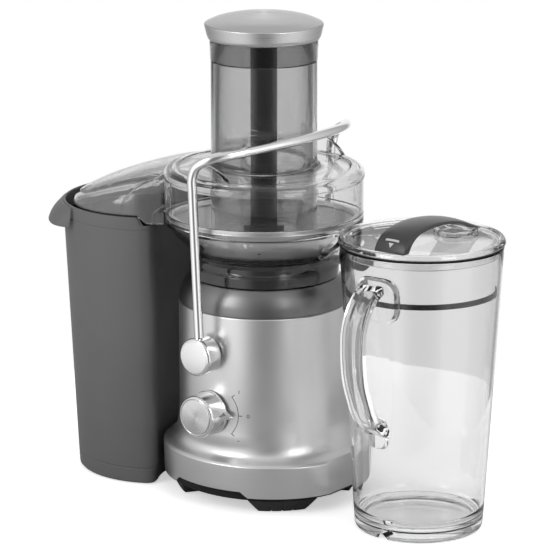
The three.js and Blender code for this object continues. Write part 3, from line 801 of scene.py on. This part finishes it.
def locking_ramp(side):
    """Hump beside the chute that holds the arm, with a curved slope towards the jug."""
    foot, top, across = DECK_TOP - 6, 321, side * 84
    slope = [Vector((31, foot)), Vector((22, 317)), Vector((4, top))]
    outline = [Vector((-8, foot)), *bend(*slope, 12), Vector((-8, top))]
    return slab("ramp", round_corners(outline, 0.6, True, 2), across - 2.4, across + 2.4)


def bowl_cover():
    """Cover, feed chute, ramps and outlet dome as one clear moulding, and the strip of painted
    shade along the dome's edge.
    """
    bottom = BOWL_TOP + GAP
    below = 240
    body = turned("clear_cover", [
        (0, bottom), (BOWL_RADIUS, bottom, 0.8), (BOWL_RADIUS, 297, 1.2),
        (BOWL_RADIUS + 1, 299, 1.0), (BOWL_RADIUS + 0.6, 303, 2.5),
        (BOWL_RADIUS - 3.5, DECK_TOP, 2.5), (80, DECK_TOP + 0.8, 1), (78.5, DECK_TOP - 0.4, 1),
        (58, DECK_TOP + 1.5, 3), (CHUTE_RADIUS + 1.2, DECK_TOP + 2.6, 2),
        (CHUTE_RADIUS, DECK_TOP + 8, 3), (CHUTE_RADIUS, CHUTE_TOP, 1.2), (0, CHUTE_TOP)], 0.6)
    inside = turned("inside", [
        (CHUTE_RADIUS, CHUTE_LOW - 5), (BOWL_INSIDE, CHUTE_LOW - 5), (BOWL_INSIDE, 299, 3),
        (85.5, DECK_TOP - WALL - 0.6, 2), (60, DECK_TOP - 1.6, 2),
        (CHUTE_RADIUS, DECK_TOP - 0.5, 1)], 0.6)
    throat = carve(outlet_dome("throat", WALL, 1), cylinder("keep", CHUTE_RADIUS + 1, below, 330))
    add(body, outlet_dome("dome", 0, 0), locking_ramp(-1), locking_ramp(1), seam_rib(),
        *[wall_rib(degrees) for degrees in (-128, -119, 60)])
    carve(body, inside, throat, cylinder("under", BOWL_RADIUS + 1.2, below, bottom))
    add(body, turned("chute_foot", [
        (CHUTE_BORE, CHUTE_LOW), (CHUTE_RADIUS, CHUTE_LOW), (CHUTE_RADIUS, BOWL_TOP + 2),
        (CHUTE_BORE, BOWL_TOP + 2)], 0.3))
    carve(body, cylinder("bore", CHUTE_BORE, below, 440))
    finished(body, "base", "cover_plastic", "bowl_cover", "outlet_dome", "feed_chute",
             slot="clear_plastic")
    body.data.materials.append(LOOKS["dome_plastic"])
    for face in body.data.polygons:
        place = (face.center - ORIGIN) / MM
        if place.x < -40 and place.xy.length > BOWL_RADIUS + 1.6:
            face.material_index = 1
    # Dark strip of painted shade along the dome's lower edge.
    finished(dome_edge_shade(), "base", "black_plastic", slot="clear_plastic")


def basket():
    sheet = turned("mesh_basket", [
        (20, 227), (53, 227, 2), (84.5, 260, 0.4), (83.2, 260, 0.4), (52.4, 228.4, 2),
        (20, 228.4)], 0.3)
    finished(sheet, "rotor", "basket_mesh", "filter_basket", slot="basket_steel")
    rim = turned("basket_band", [
        (82, 260.3), (86.5, 260.3, 0.8), (86.5, 264.5, 0.8), (82, 264.5, 0.8)], 0.5)
    finished(rim, "rotor", "rim_steel", "basket_rim", slot="basket_steel")
    grater = turned("grater", [
        (0, 239.2), (50, 239.2, 0.3), (50, 240.4, 0.3), (16, 241, 1), (12, 244, 1),
        (0, 245)], 0.5, 128)
    finished(grater, "rotor", "basket_mesh", "cutting_disc", slot="basket_steel")


# ---- the pusher
def spine():
    """Dark strip with a wider foot, inside the pusher wall."""
    def wall(name, half, bottom, top):
        spread = asin(half / 42)
        angles = [FRONT_TURN - spread + 2 * spread * step / 16 for step in range(17)]
        ring = [(41.9, angle) for angle in angles] + [(38.6, angle) for angle in reversed(angles)]
        return loft(name, [[on_circle(*corner, height) for corner in ring]
                           for height in (bottom, top)])

    bottom = PUSHER_LOW + 2.9
    strip = wall("spine_strip", 11.5, bottom + 12.2, CAP_LOW - 1.2)
    finished(strip, "pusher", "black_plastic", "pusher_spine")
    finished(wall("spine_foot", 17.5, bottom, bottom + 12), "pusher", "black_plastic")


def pusher():
    tube = turned("pusher_cup", [
        (0, PUSHER_LOW), (PUSHER_RADIUS, PUSHER_LOW, 2.5), (PUSHER_RADIUS, CAP_LOW - 1, 0.5),
        (42.3, CAP_LOW - 1, 0.5), (42.3, PUSHER_LOW + 2.6, 1.5), (0, PUSHER_LOW + 2.6)], 0.5, 144)
    finished(tube, "pusher", "smoked_plastic", "pusher_tube")
    collar = turned("smoked_collar", [
        (PUSHER_RADIUS + GAP, CHUTE_TOP + 0.4), (49, CHUTE_TOP + 0.4, 0.8),
        (49.5, CAP_LOW - GAP, 0.3), (PUSHER_RADIUS + GAP, CAP_LOW - GAP)], 0.4, 144)
    finished(collar, "pusher", "dark_smoke", "pusher_collar", slot="smoked_plastic")
    cap = turned("brushed_cap_shell", [
        (0, CAP_LOW), (50.5, CAP_LOW, 0.5), (52, CAP_LOW + 3, 1.5),
        (CAP_RADIUS, CAP_TOP - 10.5, 0.5), (CAP_RADIUS - 0.8, CAP_TOP - 9.3, 0.5),
        (44, CAP_TOP - 4.9, 6), (28, CAP_TOP - 1.5, 6), (12, CAP_TOP, 5), (0, CAP_TOP)])
    finished(cap, "pusher", "brushed_cap", "pusher_cap", sharp=24)
    spine()


# ---- pulp bin
def bin_radius(height):
    return BIN_FOOT + (BIN_RIM - BIN_FOOT) * height / BIN_TOP


ARC_STEPS, NEST_STEPS = 96, 36  # along the bin's round side and its hollow side


def bin_plan(height, inset):
    """Round outline with a hollow side that nests against the base."""
    outer = bin_radius(height) - inset
    nest = NEST_RADIUS + inset
    x = (BIN_CENTRE ** 2 + nest ** 2 - outer ** 2) / (2 * BIN_CENTRE)
    half = sqrt(nest ** 2 - x ** 2)
    start = atan2(half, x - BIN_CENTRE)
    plan = []
    for step in range(ARC_STEPS + 1):
        angle = start + (2 * pi - 2 * start) * step / ARC_STEPS
        plan.append(Vector((BIN_CENTRE + outer * cos(angle), outer * sin(angle))))
    reach = asin(half / nest)
    for step in range(1, NEST_STEPS):
        plan.append(Vector(on_circle(nest, pi + reach - 2 * reach * step / NEST_STEPS)))
    return soften(plan, max(1.0, 5 - inset))


def soften(plan, reach):
    """Rounds the plan's two sharp corners by averaging points near them."""
    near_corners = [corner + offset for corner in (0, ARC_STEPS) for offset in range(-2, 3)]
    for _ in range(int(reach * 2)):
        old = plan[:]
        for at in near_corners:
            plan[at] = (old[at - 1] + 2 * old[at] + old[(at + 1) % len(old)]) / 4
    return plan


def bin_top(point):
    """Height of the rim over a point. It drops where it passes under the cover."""
    return BIN_TOP - 8 * rim_step(point.x)


def grip_lip():
    """Lip that flares out and down from the rim at the front corner."""
    rings = []
    for step in range(33):
        share = step / 32 * 2 - 1
        angle = radians(-135 + 22 * share)
        fade = 1 - 0.75 * max(0.0, share) ** 4 - 0.25 * max(0.0, -share) ** 4
        out = [(9, 251, 5), (12.5, 245, 3), (14, 240.6, 0.5), (12, 240.4, 0.5), (9.5, 245, 4),
               (5, 249, 3)]
        profile = round_corners([
            (BIN_RIM - 1.5, BIN_TOP - 1.6), (BIN_RIM + 1.4, BIN_TOP - 1.4, 1),
            *[(BIN_RIM + reach * fade, height, fillet) for reach, height, fillet in out],
            (BIN_RIM - 1.2, 250, 1)], 1, True, 3)
        rings.append([(BIN_CENTRE + r * cos(angle), r * sin(angle), z) for r, z in profile])
    return loft("grip_lip", rings)


def bin_rings(*levels):
    """Outlines of the bin at levels, each a height and an inset."""
    return [[(p.x, p.y, height) for p in bin_plan(height, inset)] for height, inset in levels]


def pulp_bin():
    band = BIN_TOP - 13.5
    rings = bin_rings(
        (0, 3), (0.6, 1.4), (2, 0.2), (14, 0), (14.5, 0.5), (15.5, 0.5), (16, 0), (60, 0),
        (120, 0), (180, 0), (band, 0), (band + 0.4, 0.3), (band + 1.2, 0.3), (band + 1.6, 0))
    rings.append([(p.x, p.y, min(bin_top(p) - 2, BIN_TOP - 10)) for p in bin_plan(BIN_TOP - 10, 0)])
    for drop, inset in ((2, 0), (0.6, 0.2), (0, 0.9), (0, WALL - 0.7), (0.7, WALL), (4, WALL)):
        rings.append([(p.x, p.y, bin_top(p) - drop) for p in bin_plan(BIN_TOP, inset)])
    rings += bin_rings((120, WALL), (8, WALL), (4, WALL + 3), (3, WALL + 8))
    finished(loft("pulp_vessel", rings), "bin", "charcoal_plastic", "pulp_bin", sharp=30)
    finished(grip_lip(), "bin", "charcoal_plastic")
    # Black sheet just inside the bin's wall: painted shade in the bin's hollow.
    outside, inside, top = WALL + 0.3, WALL + 0.9, BIN_TOP - 14
    rings = bin_rings(
        (5, WALL + 8), (8, outside), (top, outside), (top, inside), (9, inside), (6, WALL + 9))
    finished(loft("bin_inner_shade", rings, True), "bin", "black_plastic", slot="charcoal_plastic")


# ---- juice jug
def jug_radius(height):
    return JUG_FOOT + (JUG_RIM - JUG_FOOT) * height / JUG_TOP


def collar_cut(name):
    """Room for the inlet collar in the jug's wall and in the lid, open above."""
    reach, start, end = COLLAR_RADIUS + GAP, COLLAR_START - 2, COLLAR_END + GAP
    above = slab("above", [(side * reach, SPOUT_HEIGHT + rise) for side, rise in
                           ((-1, 0), (1, 0), (1, reach), (-1, reach))], start, end, "x")
    return add(towards_jug(cylinder(name, reach, start, end, 96)), above)


def jug_handle():
    points = [
        (-60, 233), (-74, 233), (-85, 227), (-94, 216), (-100, 202), (-101.3, 183), (-98.5, 158),
        (-92, 139), (-84, 122), (-74, 109), (-56, 98)]
    path = smooth_curve([Vector((JUG_CENTRE, y, z)) for y, z in points])
    section = round_corners([
        (-12, -4.6), (12, -4.6), (12, 4.6), (4, 4.6, 1), (3, 3.6, 1), (-3, 3.6, 1), (-4, 4.6, 1),
        (-12, 4.6)], 3.2, True)
    return swept("handle", path, section, Vector((1, 0, 0)))


def mount_plate(name, height, half_span, half_height, shift=0):
    """Thick pad with rounded corners that joins the handle to the jug's wall."""
    rings = []
    for reach, share in ((0, 1.0), (3.5, 0.97), (5.2, 0.86)):
        ring = []
        for across, up in circle(1, 48):
            x = shift + half_span * share * copysign(abs(across) ** 0.6, across)
            z = half_height * share * copysign(abs(up) ** 0.6, up)
            radius = jug_radius(height + z) - 1.5 + reach
            ring.append((JUG_CENTRE + x, -sqrt(radius ** 2 - x ** 2), height + z))
        rings.append(ring)
    return loft(name, rings)


def jug_foot_notch():
    """Small half-round notch in the foot, under the handle."""
    arc = [on_circle(5.5, pi * step / 12 - 0.02) for step in range(13)]
    return slab("notch", [(JUG_CENTRE + x, height) for x, height in arc], -70, -40)


def jug():
    outline = [
        (0, 3.2), (JUG_FOOT - 6, 3.2, 1), (JUG_FOOT - 4.6, 0.2, 0.8), (JUG_FOOT - 1.4, 0.2, 1),
        (JUG_FOOT, 3.6, 2), (JUG_FOOT + 0.2, 9.6, 0.6), (JUG_FOOT - 1.0, 10.4, 0.5),
        (JUG_FOOT + 0.5, 11.6, 0.6), (JUG_RIM - 0.2, JUG_TOP - 5, 2), (JUG_RIM, JUG_TOP - 1, 0.8),
        (JUG_RIM - 2.8, JUG_TOP - 0.2, 0.8), (jug_radius(240) - 3, 240, 3),
        (jug_radius(18) - 3, JUG_FLOOR + 7, 4), (jug_radius(JUG_FLOOR) - 9, JUG_FLOOR, 5),
        (0, JUG_FLOOR)]
    vessel = turned("jug_vessel", outline, centre=JUG_AXIS, steps=5)
    inside = turned("inside", [
        (0, JUG_FLOOR + 0.5), (jug_radius(JUG_FLOOR) - 9, JUG_FLOOR + 0.5),
        (jug_radius(18) - 2.6, JUG_FLOOR + 7), (jug_radius(JUG_TOP) - 2.6, JUG_TOP),
        (0, JUG_TOP)], 0, centre=JUG_AXIS)
    upper = mount_plate("upper_pad", 224, 22, 21, 3)
    lower = mount_plate("lower_pad", 101, 11, 15)
    grip = add(jug_handle(), upper, lower)
    carve(grip, inside)
    add(vessel, grip)
    carve(vessel, collar_cut("room"), jug_foot_notch())
    finished(vessel, "jug", "jug_plastic", "jug_body", "jug_handle", slot="clear_plastic")
    bore = SPOUT_RADIUS + 0.7
    collar = turned("inlet_ring", [
        (bore, COLLAR_START), (COLLAR_RADIUS - 0.6, COLLAR_START, 0.8),
        (COLLAR_RADIUS, COLLAR_START + 2, 1), (COLLAR_RADIUS, COLLAR_END, 0.8),
        (bore, COLLAR_END, 0.5)], 0.5, 96)
    finished(towards_jug(collar), "jug", "black_plastic", "inlet_collar", slot="gloss_black")
    separator_seal()


def separator_seal():
    """Dark seal on the viewer's side of the jug, thinning towards its ends."""
    bottom, top = low("separator_seal") + 0.2, high("separator_seal") - 0.2
    reach = jug_radius(low("separator_seal")) - 3.3
    rings = []
    for step in range(49):
        share = step / 24 - 1
        angle = FRONT_TURN + pi / 2 * share
        inner = reach - (2.8 - 1.8 * share ** 4)
        corners = [(inner, bottom), (reach, bottom), (reach, top), (inner, top)]
        outline = round_corners(corners, 0.6, True, 3)
        rings.append([(JUG_CENTRE + r * cos(angle), r * sin(angle), z) for r, z in outline])
    finished(loft("seal_band", rings), "jug", "black_plastic", "separator_seal", slot="foot_rubber")


def lid():
    under = JUG_TOP + 1.6
    top = turned("lid_disc", [
        (0, LID_TOP - 3.6), (64, LID_TOP - 3.6, 1), (66, JUG_TOP - 8, 0.8), (69, JUG_TOP - 8, 0.8),
        (69.2, under, 0.2), (JUG_RIM + 1, under, 0.5), (JUG_RIM + 1.5, JUG_TOP + 3, 1.5),
        (JUG_RIM, LID_TOP + 0.4, 1.2), (69.5, LID_TOP + 0.6, 1.2), (67.5, LID_TOP - 1, 0.6),
        (0, LID_TOP - 1)], 0.6, centre=JUG_AXIS)
    # Black ring under the lid's flange, on the jug's rim: painted shade under the flange.
    edge = turned("lid_flange_shade", [
        (69.5, JUG_TOP + GAP), (JUG_RIM + 0.6, JUG_TOP + GAP, 0.3),
        (JUG_RIM + 0.6, under - 0.1, 0.3), (69.5, under - 0.1)], 0.2, centre=JUG_AXIS)
    finished(carve(edge, collar_cut("flange_shade_room")), "lid", "black_plastic", slot="clear_plastic")
    carve(top, collar_cut("lid_room"))
    finished(top, "lid", "jug_plastic", "jug_lid", slot="clear_plastic")
    rim, reach = high("lid_boss") - 0.3, half_width("lid_boss")
    boss = turned("lid_boss_ring", [
        (reach - 5, LID_TOP - 0.9), (reach, LID_TOP - 0.9, 0.5), (reach - 0.3, rim, 0.8),
        (reach - 5, rim, 0.8)], 0.6, 96, from_axis("lid_boss"))
    finished(boss, "lid", "jug_plastic", "lid_boss", slot="clear_plastic")
    finished(lid_strap(), "lid", "lid_charcoal", "lid_handle", sharp=40)
    strap_marks()


# The strap's crest and underside from front to back, as (y, height over the lid).
STRAP_CREST = [
    (-68, 0.3), (-60, 12.5), (-47, 18.6), (-24, 21.3), (2, 19.7), (24, 15.2), (40, 9.2),
    (50, 5.5)]
STRAP_UNDERSIDE = [
    (42, 4.6), (34, 6), (20, 11.4), (2, 15.2), (-24, 16.4), (-44, 13.8), (-54, 8),
    (-60, 0.3)]
STRAP_HALF = 16
STRAP_CENTRE = from_axis("lid_handle")[0]


def strap_curve(points, per_span):
    return smooth_curve([Vector((y, LID_TOP + rise)) for y, rise in points], per_span)


def strap_crest(share, shrink=0):
    """Crest of the strap at a share of its half width, lower towards its long edges."""
    drop = 2.4 * abs(share) ** 2.5 + shrink
    crest = strap_curve(STRAP_CREST, 8)
    return [Vector((p.x, max(p.y - drop, LID_TOP + 0.35))) for p in crest]


def lid_strap():
    """Arched strap from the front of the lid to the boss, crowned across its width."""
    under = strap_curve(STRAP_UNDERSIDE, 6)
    rings = []
    for share in (-1, -0.985, -0.93, -0.8, -0.6, -0.3, 0, 0.3, 0.6, 0.8, 0.93, 0.985, 1):
        shrink = 0.5 if abs(share) == 1 else 0.12 if abs(share) > 0.98 else 0
        outline = strap_crest(share, shrink) + under
        rings.append([(STRAP_CENTRE + STRAP_HALF * share, p.x, p.y) for p in outline])
    return loft("lid_strap", rings)


def strap_marks():
    """Plain pale bar and triangle on the strap's front foot."""
    def on_strap(across, y, lift):
        curve = strap_crest(across / STRAP_HALF)
        near, far = next((a, b) for a, b in zip(curve, curve[1:]) if b.x >= y)
        slope = (far - near).normalized()
        height = near.y + (far.y - near.y) * (y - near.x) / (far.x - near.x)
        return STRAP_CENTRE + across, y - slope.y * lift, height + slope.x * lift

    steps = [step / 8 - 1 for step in range(17)]
    bar = [(7 * t, -61.2) for t in steps] + [(-7 * t, -62.4) for t in steps]
    arrow = [(2.6 * t, -63.4) for t in steps] + [(0, -65.6)]
    for name, outline in (("strap_bar", bar), ("strap_arrow", arrow)):
        mark = loft(name, [[on_strap(*corner, lift) for corner in outline] for lift in (-0.8, 0.2)])
        finished(mark, "lid", "pale_print", slot="lid_charcoal")


# ---- carried-over CAD nodes
def dress_frame():
    """Gives each CAD node that stays its own material slot's look."""
    for row in frame["record"]["subparts"]:
        obj = frame["nodes"][row["node"]]
        obj.data.materials.clear()
        obj.data.materials.append(LOOKS[row["material_slot"]])


# ---- floor and lights
def aim(obj, place, direction):
    """Stands the camera or a light at a place, facing along a direction."""
    obj.location = place
    obj.rotation_euler = direction.to_track_quat("-Z", "Y").to_euler()


def camera():
    """Long lens, a little above the object, turned towards the jug side of the front."""
    azimuth, pitch = radians(38), radians(14.5)
    metres_away = 2.79
    data = bpy.data.cameras.new("camera")
    data.sensor_width = 36
    data.lens = 195.9
    data.clip_end = 50
    scene.camera = placed("camera", data)
    away = Vector((sin(azimuth) * cos(pitch), -cos(azimuth) * cos(pitch), sin(pitch)))
    target = ORIGIN + Vector((9.7, 7.5, 201)) * MM
    aim(scene.camera, target + away * metres_away, -away)


def softbox(name, degrees, power):
    """Tall soft light above the table, by degrees from the viewer, left side negative.

    Its place and size are in metres."""
    data = bpy.data.lights.new(name, "AREA")
    data.shape = "RECTANGLE"
    data.size, data.size_y = 0.8, 1.2
    data.energy = power
    light = placed(name, data)
    light.visible_camera = False
    place = Vector(on_circle(2.2, FRONT_TURN + radians(degrees), 1.4))
    aim(light, place, Vector((0, 0, 0.2)) - place)


TABLE_RADIUS = 440


def floor():
    """Pale round table top under the object, glowing a little, but dimmer in reflections."""
    rim = circle(TABLE_RADIUS, 128)
    obj = loft("floor", [[(x, y, height) for x, y in rim] for height in (-8.0, -0.4)])
    look = Look("floor", shade(0.93), 0.7, Emission_Color=(1, 1, 1, 1))
    mirrored = look.node("LightPath").outputs["Is Reflection Ray"]
    look.tint(mirrored, shade(0.93), shade(0.45))
    look.drive("Emission Strength", look.spread(mirrored, 0.5, 0.0))
    obj.data.materials.append(look.material)


OVERHEAD = 0.7  # brightness of the room's ceiling
# Brightness of its walls, by degrees from the viewer, left side negative.
PANELS = [
    (-180, 0.95), (-163, 0.95), (-150, 0.32), (-124, 0.5), (-96, 0.8), (-72, 1.15), (-34, 1.25),
    (-14, 0.24), (0, 0.2), (16, 0.26), (36, 1.2), (76, 1.2), (96, 0.75), (124, 0.55), (150, 0.4),
    (163, 0.95), (180, 0.95),
]


def ramp(tree, value, stops):
    """Grey that follows a value through stops, each a value and a level."""
    made = node(tree, "ValToRGB", value)
    elements = made.color_ramp.elements
    elements.remove(elements[1])
    for at, (position, level) in enumerate(stops):
        element = elements.new(position) if at else elements[0]
        element.position = position
        element.color = (level, level, level, 1)
    return made.outputs[0]


def studio():
    """Plain room: panels either side of a dark gap behind the viewer, under a pale ceiling.

    The camera itself sees only white."""
    scene.world = bpy.data.worlds.new("studio")
    scene.world.use_nodes = True
    tree = scene.world.node_tree
    around = node(tree, "TexCoord").outputs["Generated"]
    from_viewer = node(tree, "Mapping", Vector=around, Rotation=(0, 0, -FRONT_TURN)).outputs[0]
    split = node(tree, "SeparateXYZ", from_viewer).outputs
    angle = node(tree, "Math", split["Y"], split["X"], operation="ARCTAN2").outputs[0]
    share = node(tree, "MapRange", Value=angle, From_Min=-pi, From_Max=pi).outputs[0]
    sides = ramp(tree, share, [(degrees / 360 + 0.5, level) for degrees, level in PANELS])
    ceiling = ramp(tree, split["Z"], [(0.0, 0.0), (0.45, 0.0), (0.75, 1.0)])
    room = mixed(tree, ceiling, sides, shade(OVERHEAD))
    by_camera = node(tree, "LightPath").outputs["Is Camera Ray"]
    tree.links.new(mixed(tree, by_camera, room, shade(1)), tree.nodes["Background"].inputs["Color"])
    softbox("left_box", -53, 14)
    softbox("right_box", 38, 12)


scene.view_settings.view_transform = "Standard"
scene.cycles.max_bounces = 24
scene.cycles.transmission_bounces = 24
scene.cycles.transparent_max_bounces = 24

camera()
floor()
studio()
dress_frame()
base_shell()
shoulder()
base_floor()
dial_marks()
speed_dial()
locking_arm()
filter_bowl()
bowl_cover()
basket()
pusher()
pulp_bin()
jug()
lid()
